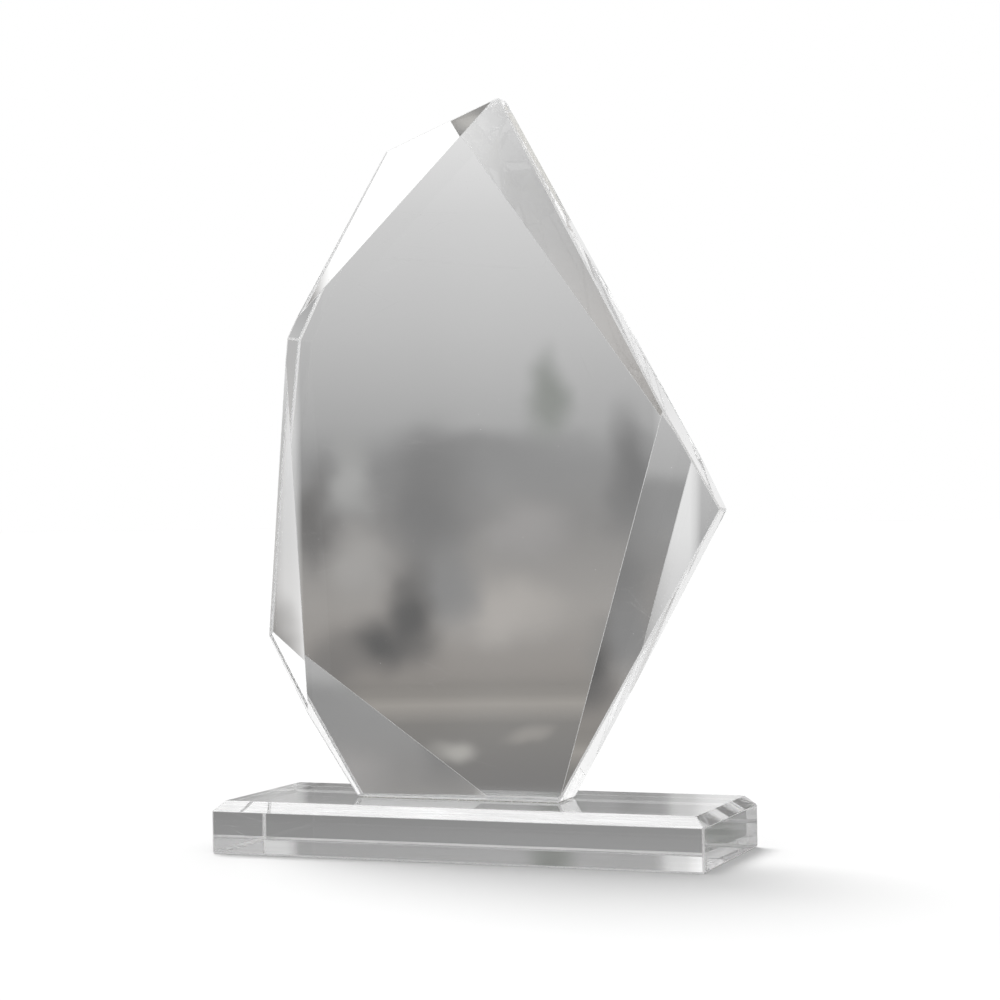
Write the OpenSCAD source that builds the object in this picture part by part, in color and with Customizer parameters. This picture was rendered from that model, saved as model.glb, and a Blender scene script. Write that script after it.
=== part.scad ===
// Iceberg crystal award: a faceted crystal plate bonded on edge to a bevelled crystal block.
// Millimetres, +Z up, +X along the block and -Y to the front.
// The origin is the centre of the block's underside.

/* [Base block] */
// Length of the block
base_l = 160; // [158:1:180]
// Width of the block, front to back
base_w = 58.8; // [50:0.1:75]
// Height of the block
base_h = 16.3; // [12:0.1:24]
// Height of the polished bevel round the top
bevel_h = 3.1; // [1.5:0.1:4.5]
// How far the bevel runs in from each side
bevel_in = 3.3; // [1.5:0.1:5]
// Width of the small flat polished on the block's other edges
base_arris = 0.9; // [0.4:0.1:1.5]

/* [Crystal plate] */
// Thickness of the plate
plate_t = 15; // [14:0.5:18]
// Width of the small flat polished on the plate's edges
plate_arris = 0.8; // [0.4:0.1:1.2]
// Thickness of the cured adhesive under the plate
film_t = 0.2; // [0.15:0.05:0.4]

/* [Plate outline] */
// Apex, the highest corner: place along X
apex_x = 11.3; // [8:0.1:14]
// Apex: height
apex_z = 233.2; // [230:0.1:240]
// Crown, the corner left of the apex: place along X
crown_x = -31.5; // [-33:0.5:-29]
// Crown: height
crown_z = 221; // [219:0.5:223]
// Shoulder, the upper corner of the left side: place along X
shoulder_x = -62.4; // [-64:0.1:-61]
// Shoulder: height
shoulder_z = 162; // [160:0.5:165]
// Hip, the lower corner of the left side: place along X
hip_x = -73.4; // [-75:0.1:-72]
// Hip: height
hip_z = 66.6; // [64:0.1:69]
// Heel, the left end of the foot: place along X
heel_x = -39.9; // [-42:0.1:-38]
// Toe, the right end of the foot: place along X
toe_x = 27.6; // [26:0.1:30]
// Elbow, the corner of the right side: place along X
elbow_x = 78.9; // [76:0.1:79]
// Elbow: height
elbow_z = 105.1; // [102:0.1:108]

/* [Facet depths] */
// Front facet on the crown: its depth at that corner
crown_cut = 10.5; // [8:0.1:11]
// Front facet down the left side: its depth at the hip
flank_cut = 5.9; // [4:0.1:6.5]
// Front facet along the lower right side: its depth at the elbow
wing_cut = 5; // [3:0.1:6]
// Rear facet along the upper right side: its depth at the apex
ridge_cut = 8.5; // [6:0.1:9.5]
// Rear facet on the heel: its depth at that corner
heel_cut = 8.7; // [6:0.1:9.5]
// Rear facet on the elbow: its depth at that corner
elbow_cut = 3.2; // [2:0.1:4]

/* [Hidden] */

FRONT = -1;
REAR = 1;

crystal = [0.80, 0.84, 0.85, 0.45];
adhesive = [0.92, 0.93, 0.90, 0.60];

// Side of a cutting block that is larger than the whole award
reach = 800;
// How far the adhesive stays in from the edge of the plate's foot
film_in = plate_arris;

foot_z = base_h + film_t;
// Corners of the plate as [x, z], anticlockwise as seen from the front
outline = [
    [apex_x, apex_z], [crown_x, crown_z], [shoulder_x, shoulder_z], [hip_x, hip_z],
    [heel_x, foot_z], [toe_x, foot_z], [elbow_x, elbow_z]
];
corners = len(outline);
// Places of the cut corners in the outline
APEX = 0;
CROWN = 1;
HIP = 3;
HEEL = 4;
ELBOW = 6;

// Fold lines, where each facet leaves the flat face, as two [x, z] points
crown_fold = [[-59.5, 167.4], [-3, 220.7]];
flank_fold = [[-63, 157.5], [-56.6, 41.4]];
wing_fold = [[62.8, 135.5], [28, 17.5]];
ridge_fold = [[-4.3, 222.7], [57.3, 136.1]];
heel_fold = [[-52.9, 53.9], [-3.1, 19.1]];
elbow_fold = [[67.3, 120.2], [50.6, 62.6]];

// A plane is [outward normal, its distance from the origin along that normal]
function plane_through(n, p) = [n, n * p];
function unit(v) = v / norm(v);
// Point of the outline or of a fold line, on the front or rear face
function on_face(p, face) = [p[0], face * plate_t / 2, p[1]];

// Flat face of the plate
function face_plane(face) = [[0, face, 0], plate_t / 2];

// Edge face of the plate, from corner i to the next one
function side_plane(i) =
    let (p = outline[i], along = unit(outline[(i + 1) % corners] - p))
    plane_through([along[1], 0, -along[0]], [p[0], 0, p[1]]);

// Facet that leaves a face at its fold line and reaches a depth at a corner
function facet_plane(face, fold, corner, depth) =
    let (
        p = on_face(fold[0], face),
        q = on_face(fold[1], face),
        r = on_face(outline[corner], face) - [0, face * depth, 0],
        n = unit(cross(q - p, r - p))
    )
    plane_through(n[1] * face > 0 ? n : -n, p);

// Small flat of a given width along the edge where two planes meet
function arris_plane(a, b, width) =
    let (
        both = a[0] + b[0],
        cos_turn = a[0] * b[0],
        depth = width / 2 * sqrt((1 - cos_turn) / (1 + cos_turn))
    )
    [unit(both), (a[1] + b[1]) / norm(both) - depth];

// Each facet as [its plane, the corner that it cuts]
facets = [
    [facet_plane(FRONT, crown_fold, CROWN, crown_cut), CROWN],
    [facet_plane(FRONT, flank_fold, HIP, flank_cut), HIP],
    [facet_plane(FRONT, wing_fold, ELBOW, wing_cut), ELBOW],
    [facet_plane(REAR, ridge_fold, APEX, ridge_cut), APEX],
    [facet_plane(REAR, heel_fold, HEEL, heel_cut), HEEL],
    [facet_plane(REAR, elbow_fold, ELBOW, elbow_cut), ELBOW]
];

// Everything beyond a plane, to be cut away
module beyond(plane) {
    n = plane[0];
    rotate([0, acos(n[2]), atan2(n[1], n[0])])
        translate([-reach / 2, -reach / 2, plane[1]])
            cube(reach);
}

// Sheet of crystal, sawn to the outline and standing on its foot
module plate_blank() {
    rotate([90, 0, 0])
        linear_extrude(plate_t, center = true)
            polygon(outline);
}

// Polished flats along all the plate's outer edges
module plate_arrises() {
    for (i = [0 : corners - 1]) {
        beyond(arris_plane(side_plane(i), side_plane((i + 1) % corners), plate_arris));
        for (face = [FRONT, REAR])
            beyond(arris_plane(side_plane(i), face_plane(face), plate_arris));
    }
    for (facet = facets, before = [0, 1])
        beyond(arris_plane(side_plane((facet[1] - before + corners) % corners), facet[0], plate_arris));
}

module plaque() {
    color(crystal)
        difference() {
            plate_blank();
            for (facet = facets)
                beyond(facet[0]);
            plate_arrises();
        }
}

// Block with a bevel round the top and small flats on its other edges
module base() {
    ends = [for (s = [-1, 1]) [[s, 0, 0], base_l / 2]];
    fronts = [for (s = [-1, 1]) [[0, s, 0], base_w / 2]];
    bottom = [[0, 0, -1], 0];
    bevel_edge = base_h - bevel_h;
    color(crystal)
        difference() {
            translate([-base_l / 2, -base_w / 2, 0])
                cube([base_l, base_w, base_h]);
            for (side = concat(ends, fronts)) {
                beyond(plane_through(
                    unit(side[0] * bevel_h + [0, 0, bevel_in]),
                    side[0] * side[1] + [0, 0, bevel_edge]
                ));
                beyond(arris_plane(side, bottom, base_arris));
            }
            for (end = ends, front = fronts)
                beyond(arris_plane(end, front, base_arris));
        }
}

// Adhesive between the block and the plate's foot, with the rear left corner
// following the facet that is cut there
module bond_film() {
    heel_run = heel_fold[1] - heel_fold[0];
    fold_x = heel_fold[1][0] + (foot_z - heel_fold[1][1]) * heel_run[0] / heel_run[1];
    half_t = plate_t / 2;
    color(adhesive)
        translate([0, 0, base_h])
            linear_extrude(film_t)
                polygon([
                    [heel_x + film_in, film_in - half_t],
                    [toe_x - film_in, film_in - half_t],
                    [toe_x - film_in, half_t - film_in],
                    [fold_x - film_in, half_t - film_in],
                    [heel_x + film_in, half_t - heel_cut - film_in]
                ]);
}

plaque();
base();
bond_film();
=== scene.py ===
# %% [markdown]
# # A crystal award in Blender
#
# The real object is a desk trophy cut from optical crystal: a lopsided plate with facets
# ground on its front and rear, glued on edge to a bevelled block. Crystal has almost no
# colour of its own, so the picture is made by its shape and by what stands round it.
# The lesson therefore goes: frame, camera, studio, finishes, pieces.

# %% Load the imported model
import math

import bmesh
import bpy
from mathutils import Matrix, Vector


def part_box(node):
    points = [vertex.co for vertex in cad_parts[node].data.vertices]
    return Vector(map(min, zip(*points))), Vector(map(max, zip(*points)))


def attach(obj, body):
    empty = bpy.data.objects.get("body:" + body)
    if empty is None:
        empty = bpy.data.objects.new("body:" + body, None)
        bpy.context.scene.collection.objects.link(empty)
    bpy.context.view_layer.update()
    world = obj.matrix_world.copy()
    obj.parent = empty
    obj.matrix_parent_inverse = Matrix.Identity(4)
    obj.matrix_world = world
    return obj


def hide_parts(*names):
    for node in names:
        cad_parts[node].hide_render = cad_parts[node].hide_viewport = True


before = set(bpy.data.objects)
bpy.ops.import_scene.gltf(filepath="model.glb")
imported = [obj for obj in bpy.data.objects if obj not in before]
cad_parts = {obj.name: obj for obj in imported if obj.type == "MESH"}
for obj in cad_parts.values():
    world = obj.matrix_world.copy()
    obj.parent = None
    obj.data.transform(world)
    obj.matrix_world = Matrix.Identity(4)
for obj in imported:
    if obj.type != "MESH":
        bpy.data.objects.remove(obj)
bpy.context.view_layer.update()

MM = 0.001
scene = bpy.context.scene
print("frame nodes:", sorted(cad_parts))

# %% [markdown]
# ## Camera
#
# A trophy is taken with a short telephoto lens held at half its height, so its edges stay
# upright. The camera here turns round a point in the middle of the plate. A Blender camera
# looks along its own -Z, so its matrix has the right, up and backward directions as columns.

# %% Camera
CAMERA_AZIMUTH = math.radians(21.32)
CAMERA_ELEVATION = math.radians(-0.40)
CAMERA_ROLL = math.radians(-0.85)
CAMERA_LENS_MM = 85.0
CAMERA_DISTANCE = 0.7379
CAMERA_TARGET = Vector((5.9, 2.7, 109.2)) * MM
CAMERA_CLIP_START = 0.01


def camera_matrix(target, azimuth, elevation, roll, distance):
    """Matrix of a camera that looks at a target from a compass angle and a height angle."""
    back = Vector((
        math.sin(azimuth) * math.cos(elevation),
        -math.cos(azimuth) * math.cos(elevation),
        math.sin(elevation),
    ))
    level_right = (-back).cross(Vector((0, 0, 1))).normalized()
    level_up = back.cross(level_right)
    right = math.cos(roll) * level_right + math.sin(roll) * level_up
    up = back.cross(right)
    turn = Matrix((right, up, back)).transposed().to_4x4()
    return Matrix.Translation(target + back * distance) @ turn


camera_data = bpy.data.cameras.new("camera")
camera_data.lens = CAMERA_LENS_MM
camera_data.clip_start = CAMERA_CLIP_START
camera = bpy.data.objects.new("camera", camera_data)
scene.collection.objects.link(camera)
camera.matrix_world = camera_matrix(
    CAMERA_TARGET, CAMERA_AZIMUTH, CAMERA_ELEVATION, CAMERA_ROLL, CAMERA_DISTANCE
)
scene.camera = camera
print("camera at", [round(v, 3) for v in camera.location])

# %% [markdown]
# ## Two small helpers
#
# Colours are written as sRGB hex, as on a paint card, and Blender mixes in linear light, so
# one function turns one into the other. Another adds a shader node, sets its options and
# fills or links its inputs in one call.

# %% Helpers for colours and nodes


def linear(hex_code, alpha=1.0):
    """sRGB hex to a linear RGBA colour."""
    channels = [int(hex_code[i:i + 2], 16) / 255 for i in (0, 2, 4)]
    return tuple(
        c / 12.92 if c <= 0.04045 else ((c + 0.055) / 1.055) ** 2.4 for c in channels
    ) + (alpha,)


def add(tree, kind, inputs=None, **options):
    """Add a node, set its options, and fill each input with a value or link it to an output."""
    made = tree.nodes.new(kind)
    for name, value in options.items():
        setattr(made, name, value)
    for socket, value in (inputs or {}).items():
        if isinstance(value, bpy.types.NodeSocket):
            tree.links.new(value, made.inputs[socket])
        else:
            made.inputs[socket].default_value = value
    return made


def empty_material(name):
    """A material whose node tree is still empty."""
    material = bpy.data.materials.new(name)
    material.use_nodes = True
    material.node_tree.nodes.clear()
    return material


def new_object(name, mesh_in_progress, materials):
    """Turn a bmesh into an object at the origin, with its materials in order."""
    mesh = bpy.data.meshes.new(name)
    mesh_in_progress.to_mesh(mesh)
    mesh_in_progress.free()
    for material in materials:
        mesh.materials.append(material)
    made = bpy.data.objects.new(name, mesh)
    scene.collection.objects.link(made)
    return made


WHITE = linear("FFFFFF")
print("mid grey in linear light:", round(linear("808080")[0], 3))

# %% [markdown]
# ## Studio dome
#
# Clear crystal on white paper shows only what it bends into view. A photographer therefore
# puts grey between the bright panels of the studio. The dome is that room: a sphere of
# 1.5 m radius that only reflections and refractions see, so the paper behind stays white.
# Its pattern is laid out in degrees: dim and slightly warm straight behind the award,
# lighter upwards, and with a bright panel on either side, six times round the room.
#
# This is more than a plain studio. The greys, panel shares and soft shapes were fitted,
# facet by facet, to the tones that the award should show from the front. For a plain room,
# empty SOFT_SHAPES and keep a few stops of ROOM_BANDS and PANELS.

# %% Studio dome pattern
DOME_RADIUS = 1.5
DOME_CENTRE = Vector((0, 0, 100)) * MM
DOME_SEGMENTS = 96
DOME_RINGS = 48
# The pattern repeats after this many degrees round the room
SECTOR = 60.0
# Brightness of the room from low to high, as (degrees of height, colour)
ROOM_BANDS = (
    (-40, "DCDCDC"), (-24, "EFEFEF"), (-18, "D0D0D0"), (-15, "A4A4A4"), (-12, "969696"),
    (-10.6, "8C8C8C"), (-9.5, "7E7D7C"), (-7.3, "7E7C79"), (-6.6, "9A9691"), (-6.1, "827F7B"),
    (-5.4, "8E8A86"), (-3, "9A9794"), (0, "888786"), (2, "8C8C8C"), (3.5, "A5A5A5"),
    (5, "B0B0B0"), (7, "BCBCBC"), (11, "CDCDCD"), (15, "E6E6E6"), (30, "FFFFFF"), (50, "FFFFFF"),
)
# How far the side panels lighten the room, as (degrees from straight behind, share)
PANELS = (
    (-30, 0.30), (-20, 0.40), (-17.5, 0.48), (-16.4, 0.40), (-15.2, 0.27), (-14, 0.25),
    (-12, 0.17), (-10, 0.12), (-9.3, 0.10), (-8.7, 0.28), (-7.9, 0.46), (-7.1, 0.46),
    (-6.9, 0.0), (6.0, 0.0), (6.4, 0.45), (7.0, 0.50), (7.4, 0.85),
    (8.0, 1.0), (13, 1.0), (17, 0.45), (30, 0.30),
)
PANEL_LIGHT = 1.15
# The panels stand on the floor: their light fades in between these heights
PANEL_FOOT = (-9.5, -7.0)
# Soft shapes in the room: degrees across and up, half width, half height, colour
SOFT_SHAPES = (
    (0.2, -3.2, 4.2, 1.8, "AAA6A2"), (1.4, -0.3, 2.4, 1.8, "989695"),
    (-5.0, 1.6, 1.4, 2.6, "A6A6A5"), (-4.9, -1.6, 1.5, 2.2, "A2A09E"),
    (-0.5, 2.3, 6.0, 1.5, "868686"), (2.0, 4.5, 1.2, 2.6, "878A86"),
    (-2.2, 0.4, 2.6, 4.4, "767676"), (-1.6, -2.2, 1.8, 2.6, "848484"),
    (-3.0, -3.3, 1.6, 3.0, "565656"), (-4.1, -4.6, 2.2, 1.7, "565656"),
    (-6.3, 0.3, 1.3, 2.8, "6C6B6A"), (-5.8, -5.2, 1.6, 2.0, "787674"),
    (5.0, 1.7, 1.3, 3.9, "727272"), (4.4, -4.6, 1.6, 1.8, "868583"),
    (1.2, -7.7, 1.4, 0.5, "94918D"), (-1.4, -8.2, 1.4, 0.8, "ABA9A5"),
)
# The right panel is shaded near its foot, on the side towards the middle
PANEL_SHADE = (6.5, -4.6, 1.3, 3.6, "7C7A78")
# Nothing in the room has a hard outline: its map is bent by this much, in degrees
ROOM_BEND = 0.9
ROOM_BEND_SIZE = 2.6


def ramp(tree, factor, stops):
    """Colour ramp whose stops, from low to high, are in the units of its input."""
    low, high = stops[0][0], stops[-1][0]
    share = add(tree, "ShaderNodeMapRange", {
        "Value": factor, "From Min": low, "From Max": high,
    })
    made = add(tree, "ShaderNodeValToRGB", {"Fac": share.outputs["Result"]})
    elements = made.color_ramp.elements
    elements[0].color = stops[0][1]
    elements[-1].color = stops[-1][1]
    for place, colour in stops[1:-1]:
        elements.new((place - low) / (high - low)).color = colour
    return made.outputs["Color"]


def soft_shape(tree, base, where, shape):
    """Mix an oval patch of colour, soft at its rim, over a base colour."""
    deg_x, deg_y, half_w, half_h, colour = shape
    spot = add(tree, "ShaderNodeMapping", {
        "Vector": where,
        "Location": (deg_x, deg_y, 0),
        "Scale": (half_w, half_h, 1),
    }, vector_type="TEXTURE")
    soft = add(tree, "ShaderNodeTexGradient", {
        "Vector": spot.outputs["Vector"],
    }, gradient_type="SPHERICAL")
    share = add(tree, "ShaderNodeMapRange", {
        "Value": soft.outputs["Fac"],
    }, interpolation_type="SMOOTHERSTEP")
    return add(tree, "ShaderNodeMix", {
        0: share.outputs["Result"], 6: base, 7: linear(colour),
    }, data_type="RGBA").outputs[2]


def dome_material():
    """The studio room, painted on the dome as light."""
    material = empty_material("studio_dome")
    tree = material.node_tree
    place = add(tree, "ShaderNodeTexCoord").outputs["Object"]
    turned = add(tree, "ShaderNodeMapping", {
        "Vector": place, "Location": -DOME_CENTRE,
    })
    turned = add(tree, "ShaderNodeMapping", {
        "Vector": turned.outputs["Vector"], "Rotation": (0, 0, -CAMERA_AZIMUTH),
    })
    axis = add(tree, "ShaderNodeSeparateXYZ", {"Vector": turned.outputs["Vector"]})
    compass = add(tree, "ShaderNodeMath", {
        0: axis.outputs["X"], 1: axis.outputs["Y"],
    }, operation="ARCTAN2")
    height = add(tree, "ShaderNodeMath", {
        0: add(tree, "ShaderNodeMath", {
            0: axis.outputs["Z"], 1: DOME_RADIUS,
        }, operation="DIVIDE").outputs[0],
    }, operation="ARCSINE")
    across = add(tree, "ShaderNodeMath", {
        0: add(tree, "ShaderNodeMath", {0: compass.outputs[0]}, operation="DEGREES").outputs[0],
        1: SECTOR / 2, 2: -SECTOR / 2,
    }, operation="WRAP").outputs[0]
    up = add(tree, "ShaderNodeMath", {0: height.outputs[0]}, operation="DEGREES").outputs[0]

    room = ramp(tree, up, [(e, linear(c)) for e, c in ROOM_BANDS])
    in_degrees = add(tree, "ShaderNodeCombineXYZ", {"X": across, "Y": up}).outputs[0]
    bend = add(tree, "ShaderNodeTexNoise", {
        "Vector": in_degrees, "Scale": 1 / ROOM_BEND_SIZE, "Detail": 2.0, "Roughness": 0.4,
    })
    # Noise runs from 0 to 1, so its middle is taken off before it bends the map
    bend = add(tree, "ShaderNodeVectorMath", {
        0: bend.outputs["Color"], 1: (0.5, 0.5, 0.5),
    }, operation="SUBTRACT")
    bent = add(tree, "ShaderNodeVectorMath", {
        0: bend.outputs[0], 1: (2 * ROOM_BEND, 2 * ROOM_BEND, 0), 2: in_degrees,
    }, operation="MULTIPLY_ADD").outputs[0]
    for shape in SOFT_SHAPES:
        room = soft_shape(tree, room, bent, shape)
    panels = ramp(tree, across, [(a, (v, v, v, 1)) for a, v in PANELS])
    standing = add(tree, "ShaderNodeMapRange", {
        "Value": up, "From Min": PANEL_FOOT[0], "From Max": PANEL_FOOT[1],
    }, interpolation_type="SMOOTHSTEP")
    share = add(tree, "ShaderNodeMath", {
        0: panels, 1: standing.outputs["Result"],
    }, operation="MULTIPLY")
    lit = add(tree, "ShaderNodeMix", {
        0: share.outputs[0], 6: room, 7: (PANEL_LIGHT, PANEL_LIGHT, PANEL_LIGHT, 1),
    }, data_type="RGBA").outputs[2]
    lit = soft_shape(tree, lit, bent, PANEL_SHADE)
    glow = add(tree, "ShaderNodeEmission", {"Color": lit})
    add(tree, "ShaderNodeOutputMaterial", {"Surface": glow.outputs[0]})
    return material


sphere = bmesh.new()
bmesh.ops.create_uvsphere(
    sphere, u_segments=DOME_SEGMENTS, v_segments=DOME_RINGS, radius=DOME_RADIUS,
    matrix=Matrix.Translation(DOME_CENTRE),
)
dome = new_object("studio_dome", sphere, [dome_material()])
dome.data.polygons.foreach_set("use_smooth", [True] * len(dome.data.polygons))
dome.visible_camera = False
dome.visible_diffuse = False
dome.visible_shadow = False
print("dome:", len(dome.data.polygons), "faces")

# %% [markdown]
# ## Floor and light
#
# A sheet of white paper that runs to the horizon, lit evenly by a white sky, so that it
# burns out to plain white. One large lamp high on the left lays a soft shadow to the right.
# The crystal doesn't see the paper, only the dome, which keeps its lower half grey.

# %% Floor, sky and lamp
FLOOR_SIZE = 40.0
PAPER_COLOUR = "CACACA"
SKY_LIGHT = 1.0
LAMP_LIGHT = 2.8
# How wide the lamp looks from the award, in degrees, and the way from the award to it
LAMP_ANGLE = 30
LAMP_DIRECTION = (-1.0, 0.8, 2.3)


def floor_material():
    material = empty_material("white_studio_paper")
    tree = material.node_tree
    paper = add(tree, "ShaderNodeBsdfDiffuse", {"Color": linear(PAPER_COLOUR)})
    add(tree, "ShaderNodeOutputMaterial", {"Surface": paper.outputs[0]})
    return material


sheet = bmesh.new()
bmesh.ops.create_grid(sheet, x_segments=1, y_segments=1, size=FLOOR_SIZE / 2)
floor = new_object("floor", sheet, [floor_material()])
floor.visible_transmission = False
floor.visible_glossy = False

sky = bpy.data.worlds.new("white_sky")
sky.use_nodes = True
sky.node_tree.nodes["Background"].inputs["Color"].default_value = WHITE
sky.node_tree.nodes["Background"].inputs["Strength"].default_value = SKY_LIGHT
scene.world = sky

lamp_data = bpy.data.lights.new("soft_lamp", "SUN")
lamp_data.energy = LAMP_LIGHT
lamp_data.angle = math.radians(LAMP_ANGLE)
lamp = bpy.data.objects.new("soft_lamp", lamp_data)
lamp.rotation_euler = Vector(LAMP_DIRECTION).to_track_quat("Z", "Y").to_euler()
lamp.visible_glossy = False
lamp.visible_transmission = False
scene.collection.objects.link(lamp)

# Light may bounce many times inside a cut plate before it finds its way out
GLASS_BOUNCES = 64
scene.cycles.max_bounces = GLASS_BOUNCES
scene.cycles.transmission_bounces = GLASS_BOUNCES
scene.cycles.glossy_bounces = GLASS_BOUNCES
scene.view_settings.view_transform = "Standard"
print("floor, sky and lamp are set")

# %% [markdown]
# ## Optical crystal
#
# The plate and block are lead-free optical crystal, close to a borosilicate crown glass:
# its index is 1.52, and a polished face is as smooth as a lens. Two things still tell it from
# a computer's perfect glass. The felt wheel leaves a face very slightly wavy over a
# centimetre or two, which bends what is seen through it, and wiping leaves hairlines and
# specks of lint. Waves are a bump, while lint and hairlines mix in a little dull white.

# %% Wear on a polished face
CRYSTAL_IOR = 1.52
WAVE_LENGTH = 14 * MM
WAVE_HEIGHT = 0.004 * MM
# Real lint is about 0.05 mm wide, too fine to show, so these specks are wider
SPECK_SPACING = 5 * MM
SPECK_RADIUS = 0.13 * MM
HAIRLINE_SPACING = 9 * MM
HAIRLINE_PATCH = 45 * MM
# Hairlines come in patches: where slow noise is under this limit, with a soft rim
HAIRLINE_PATCH_LIMIT = 0.46
HAIRLINE_PATCH_RIM = 0.06
HAIRLINE_WIDTH = 0.03 * MM
# Wiping goes along the long side, so the hairlines are long and lean in two directions
HAIRLINE_LEANS = (12, -31)
HAIRLINE_STRETCH = 9.0
HAIRLINE_SHARE = 0.05
SPECK_SHARE = 0.35


def below(tree, value, limit, soft):
    """1 where a value is under a limit, falling to 0 over a soft edge."""
    return add(tree, "ShaderNodeMapRange", {
        "Value": value, "From Min": limit - soft, "From Max": limit + soft,
        "To Min": 1.0, "To Max": 0.0,
    }, interpolation_type="SMOOTHSTEP").outputs["Result"]


def times(tree, first, second):
    """The product of two values."""
    return add(tree, "ShaderNodeMath", {0: first, 1: second}, operation="MULTIPLY").outputs[0]


def lint_and_hairlines(tree, place):
    """Share of dull white at a place on a polished face."""
    grains = add(tree, "ShaderNodeTexVoronoi", {
        "Vector": place, "Scale": 1 / SPECK_SPACING,
    })
    radius = SPECK_RADIUS / SPECK_SPACING
    total = times(tree, below(tree, grains.outputs["Distance"], radius, radius / 2), SPECK_SHARE)
    for lean in HAIRLINE_LEANS:
        laid = add(tree, "ShaderNodeMapping", {
            "Vector": place, "Rotation": (0, math.radians(lean), 0),
            "Scale": (1 / HAIRLINE_STRETCH, 1, 1),
        })
        cells = add(tree, "ShaderNodeTexVoronoi", {
            "Vector": laid.outputs["Vector"], "Scale": 1 / HAIRLINE_SPACING,
        }, feature="DISTANCE_TO_EDGE")
        patchy = add(tree, "ShaderNodeTexNoise", {
            "Vector": place, "Scale": 1 / HAIRLINE_PATCH,
        })
        width = HAIRLINE_WIDTH / HAIRLINE_SPACING
        line = times(tree, below(tree, cells.outputs["Distance"], width, width / 2),
                     below(tree, patchy.outputs["Fac"], HAIRLINE_PATCH_LIMIT,
                           HAIRLINE_PATCH_RIM))
        total = add(tree, "ShaderNodeMath", {
            0: times(tree, line, HAIRLINE_SHARE), 1: total,
        }, operation="MAXIMUM").outputs[0]
    return total


# The block slides on desks and shelves, which drags grit along its underside
SCUFF_LENGTH = 30 * MM
SCUFF_WIDTH = 0.8 * MM
SCUFF_SHARE = (0.02, 0.30)
# The streaks' noise turns from clear to scuffed between these values
SCUFF_NOISE = (0.35, 0.7)


def scuffs(tree, place):
    """Share of dull grey on the underside: long fine streaks along the block."""
    laid = add(tree, "ShaderNodeMapping", {
        "Vector": place, "Scale": (1 / SCUFF_LENGTH, 1 / SCUFF_WIDTH, 1),
    })
    streaks = add(tree, "ShaderNodeTexNoise", {
        "Vector": laid.outputs["Vector"], "Scale": 1.0, "Detail": 3.0, "Roughness": 0.6,
    })
    return add(tree, "ShaderNodeMapRange", {
        "Value": streaks.outputs["Fac"],
        "From Min": SCUFF_NOISE[0], "From Max": SCUFF_NOISE[1],
        "To Min": SCUFF_SHARE[0], "To Max": SCUFF_SHARE[1],
    }).outputs["Result"]


print("lint share on a face:", round(math.pi * (SPECK_RADIUS / SPECK_SPACING) ** 2, 5))

# %% [markdown]
# ## Finishes of the crystal
#
# A face is polished clear, while the narrow arris along an edge is only ground and lightly
# polished. Its fine pits scatter light, which is why every edge of a crystal award is drawn
# in white. Each pit is some hundredths of a millimetre, and what shows as grain is the
# larger patches where the pits lie closer together.

# %% Crystal finishes
ARRIS_GRIT = 0.5 * MM
# The grain's noise between these values sets the roughness between those
ARRIS_NOISE = (0.3, 0.7)
ARRIS_ROUGHNESS = (0.25, 0.55)
# Share of an arris that its pits turn white, and the share of that which passes light on
ARRIS_GLOW = 0.55
ARRIS_PASSED = 0.5
DULL_ROUGHNESS = 0.5
# Lint is white, while grit rubbed into scuffs is grey
LINT_COLOUR = "F4F4F2"
SCUFF_COLOUR = "8C8B88"


def polished_crystal(name, wear, dull_colour):
    """Optical crystal, felt polished: clear, with faint waves and some wear."""
    material = empty_material(name)
    tree = material.node_tree
    place = add(tree, "ShaderNodeTexCoord").outputs["Object"]
    waves = add(tree, "ShaderNodeTexNoise", {
        "Vector": place, "Scale": 1 / WAVE_LENGTH, "Detail": 1.0, "Roughness": 0.4,
    })
    bump = add(tree, "ShaderNodeBump", {
        "Height": waves.outputs["Fac"], "Distance": WAVE_HEIGHT, "Strength": 1.0,
    })
    crystal = add(tree, "ShaderNodeBsdfPrincipled", {
        "Base Color": WHITE, "Roughness": 0.0, "IOR": CRYSTAL_IOR,
        "Transmission Weight": 1.0, "Normal": bump.outputs["Normal"],
    })
    dull = add(tree, "ShaderNodeBsdfPrincipled", {
        "Base Color": linear(dull_colour), "Roughness": DULL_ROUGHNESS, "IOR": CRYSTAL_IOR,
        "Transmission Weight": 0.0,
    })
    skin = add(tree, "ShaderNodeMixShader", {
        0: wear(tree, place), 1: crystal.outputs[0], 2: dull.outputs[0],
    })
    add(tree, "ShaderNodeOutputMaterial", {"Surface": skin.outputs[0]})
    return material


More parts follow.
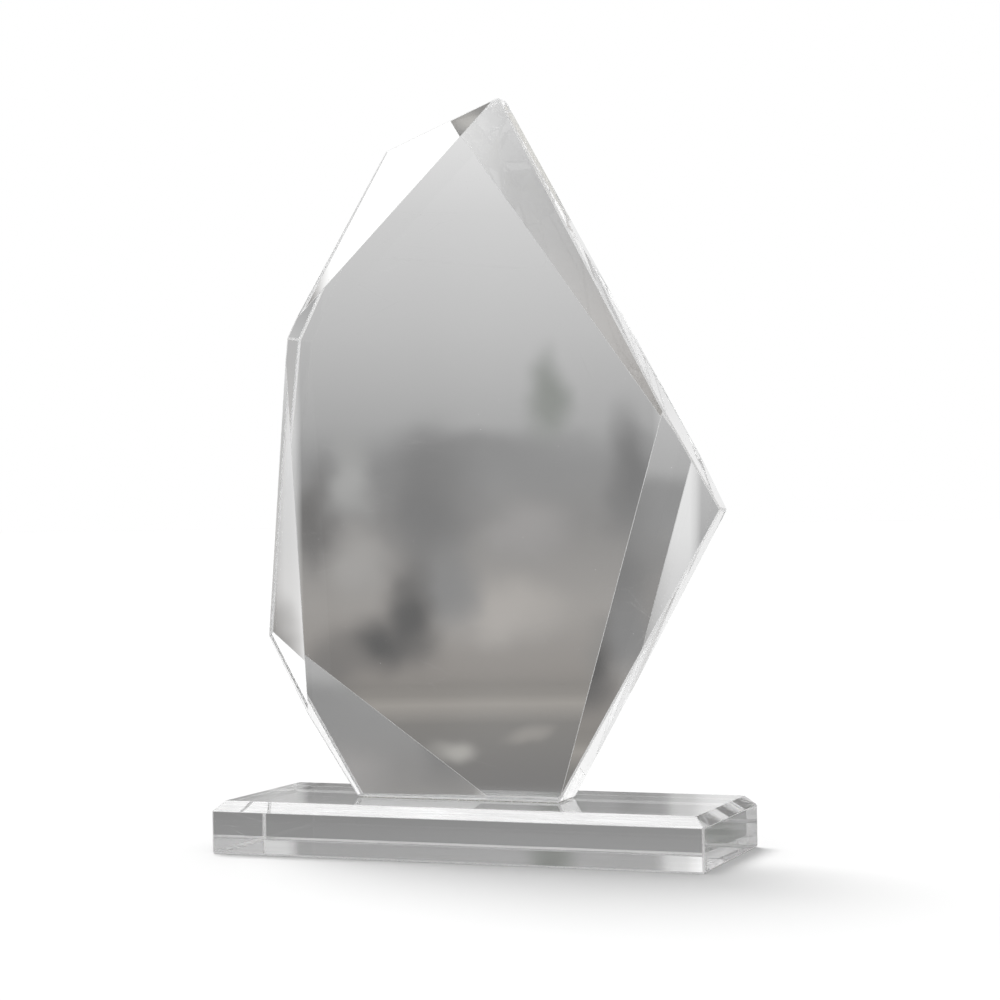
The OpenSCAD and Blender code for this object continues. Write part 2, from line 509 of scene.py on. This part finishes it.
def ground_arris():
    """Optical crystal, fine ground: white and slightly glassy, with a fine grain."""
    material = empty_material("optical_crystal_ground_arris")
    tree = material.node_tree
    place = add(tree, "ShaderNodeTexCoord").outputs["Object"]
    grit = add(tree, "ShaderNodeTexNoise", {
        "Vector": place, "Scale": 1 / ARRIS_GRIT, "Detail": 2.0,
    })
    rough = add(tree, "ShaderNodeMapRange", {
        "Value": grit.outputs["Fac"], "From Min": ARRIS_NOISE[0], "From Max": ARRIS_NOISE[1],
        "To Min": ARRIS_ROUGHNESS[0], "To Max": ARRIS_ROUGHNESS[1],
    })
    crystal = add(tree, "ShaderNodeBsdfPrincipled", {
        "Base Color": WHITE, "Roughness": rough.outputs["Result"],
        "IOR": CRYSTAL_IOR, "Transmission Weight": 1.0,
    })
    white = add(tree, "ShaderNodeBsdfDiffuse", {"Color": WHITE})
    through = add(tree, "ShaderNodeBsdfTranslucent", {"Color": WHITE})
    pits = add(tree, "ShaderNodeMixShader", {
        0: ARRIS_PASSED, 1: white.outputs[0], 2: through.outputs[0],
    })
    skin = add(tree, "ShaderNodeMixShader", {
        0: ARRIS_GLOW, 1: crystal.outputs[0], 2: pits.outputs[0],
    })
    add(tree, "ShaderNodeOutputMaterial", {"Surface": skin.outputs[0]})
    return material


polished = polished_crystal("optical_crystal_polished", lint_and_hairlines, LINT_COLOUR)
scuffed = polished_crystal("optical_crystal_scuffed_underside", scuffs, SCUFF_COLOUR)
arris = ground_arris()
print("materials:", polished.name, scuffed.name, arris.name)

# %% [markdown]
# ## Cured adhesive
#
# The plate is held by a clear adhesive that an ultraviolet lamp cures, a film of 0.2 mm.
# Its index is close to the crystal's. It is faintly warm and its cured face has tiny
# bubbles, which a rough patchy surface stands for.

# %% Cured adhesive material
ADHESIVE_IOR = 1.50
ADHESIVE_COLOUR = "FBF9F2"
ADHESIVE_CLEARNESS = 0.9
BUBBLE_SPACING = 0.9 * MM
BUBBLE_DEPTH = 0.01 * MM
# From a bubble's middle to its rim, in bubble spacings, the surface goes from rough to clear
BUBBLE_REACH = (0.1, 0.35)
BUBBLE_ROUGHNESS = (0.5, 0.12)


def cured_adhesive():
    """Acrylic adhesive cured by ultraviolet: clear, faintly warm, with small bubbles."""
    material = empty_material("uv_cured_acrylic_adhesive")
    tree = material.node_tree
    place = add(tree, "ShaderNodeTexCoord").outputs["Object"]
    bubbles = add(tree, "ShaderNodeTexVoronoi", {
        "Vector": place, "Scale": 1 / BUBBLE_SPACING,
    })
    rough = add(tree, "ShaderNodeMapRange", {
        "Value": bubbles.outputs["Distance"],
        "From Min": BUBBLE_REACH[0], "From Max": BUBBLE_REACH[1],
        "To Min": BUBBLE_ROUGHNESS[0], "To Max": BUBBLE_ROUGHNESS[1],
    })
    bump = add(tree, "ShaderNodeBump", {
        "Height": bubbles.outputs["Distance"], "Distance": BUBBLE_DEPTH, "Strength": 0.5,
    })
    resin = add(tree, "ShaderNodeBsdfPrincipled", {
        "Base Color": linear(ADHESIVE_COLOUR), "Roughness": rough.outputs["Result"],
        "IOR": ADHESIVE_IOR, "Transmission Weight": ADHESIVE_CLEARNESS,
        "Normal": bump.outputs["Normal"],
    })
    add(tree, "ShaderNodeOutputMaterial", {"Surface": resin.outputs[0]})
    return material


adhesive = cured_adhesive()
print("material:", adhesive.name)

# %% [markdown]
# ## Plate and block
#
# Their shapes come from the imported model. Its meshes are loose triangles, so each piece is
# a copy whose triangles are joined into the flat faces that the grinder cut. Where two wide
# faces meet, polishing has rounded the fold by a hair, and it shows as a thin light line.
# A narrow bevel makes it.

# %% Plate and block
# A face narrower than this is an arris
ARRIS_WIDTH = 1.5 * MM
FOLD_WIDTH = 0.22 * MM
# Corners closer than this are one corner, and triangles within this angle are one face
WELD_DISTANCE = 0.002 * MM
FLAT_ANGLE = math.radians(0.5)
# The underside faces down and lies at most this high
UNDERSIDE_SLOPE = -0.99
UNDERSIDE_HEIGHT = 1 * MM
POLISHED, ARRIS, SCUFFED = range(3)


def whole_faces(node):
    """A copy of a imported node's mesh whose triangles are joined into flat faces."""
    body = bmesh.new()
    body.from_mesh(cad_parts[node].data)
    bmesh.ops.remove_doubles(body, verts=body.verts, dist=WELD_DISTANCE)
    bmesh.ops.dissolve_limit(
        body, angle_limit=FLAT_ANGLE, verts=body.verts, edges=body.edges
    )
    return body


def is_narrow(face):
    """Whether a face is only an arris: its area shared out along its longest edge is thin."""
    return face.calc_area() / max(edge.calc_length() for edge in face.edges) < ARRIS_WIDTH


def cut_piece(node, name):
    """A crystal piece: wide faces polished, arrises and fold lines fine ground."""
    body = whole_faces(node)
    folds = [
        edge for edge in body.edges
        if len(edge.link_faces) == 2 and not any(is_narrow(face) for face in edge.link_faces)
    ]
    bmesh.ops.bevel(
        body, geom=folds, offset=FOLD_WIDTH / 2, offset_type="OFFSET", segments=1,
        profile=0.5, affect="EDGES", clamp_overlap=True,
    )
    for face in body.faces:
        low = face.calc_center_median().z < UNDERSIDE_HEIGHT
        if face.normal.z < UNDERSIDE_SLOPE and low:
            face.material_index = SCUFFED
        else:
            face.material_index = ARRIS if is_narrow(face) else POLISHED
        face.smooth = False
    narrow = sum(face.material_index == ARRIS for face in body.faces)
    print(name, len(body.faces), "faces, of which narrow:", narrow, "folds:", len(folds))
    piece = new_object(name, body, [polished, arris, scuffed])
    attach(piece, "root")
    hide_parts(node)
    return piece


plate = cut_piece("plaque", "crystal_plate")
block = cut_piece("base", "crystal_block")

# %% [markdown]
# ## Adhesive film
#
# Real adhesive wets the crystal above and below. Here the film stands a hair's breadth
# clear of both, which is a drawing choice: no two surfaces then lie in the same place, and
# the foot of the plate mirrors the room.

# %% Adhesive film
FILM_GAP = 0.02 * MM

film_low, film_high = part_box("bond_film")
film_middle = (film_low.z + film_high.z) / 2
film_body = whole_faces("bond_film")
for corner in film_body.verts:
    corner.co.z += FILM_GAP if corner.co.z < film_middle else -FILM_GAP
film = new_object("adhesive_film", film_body, [adhesive])
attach(film, "root")
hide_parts("bond_film")
print("film thickness in mm:", round((film_high.z - film_low.z - 2 * FILM_GAP) / MM, 2))
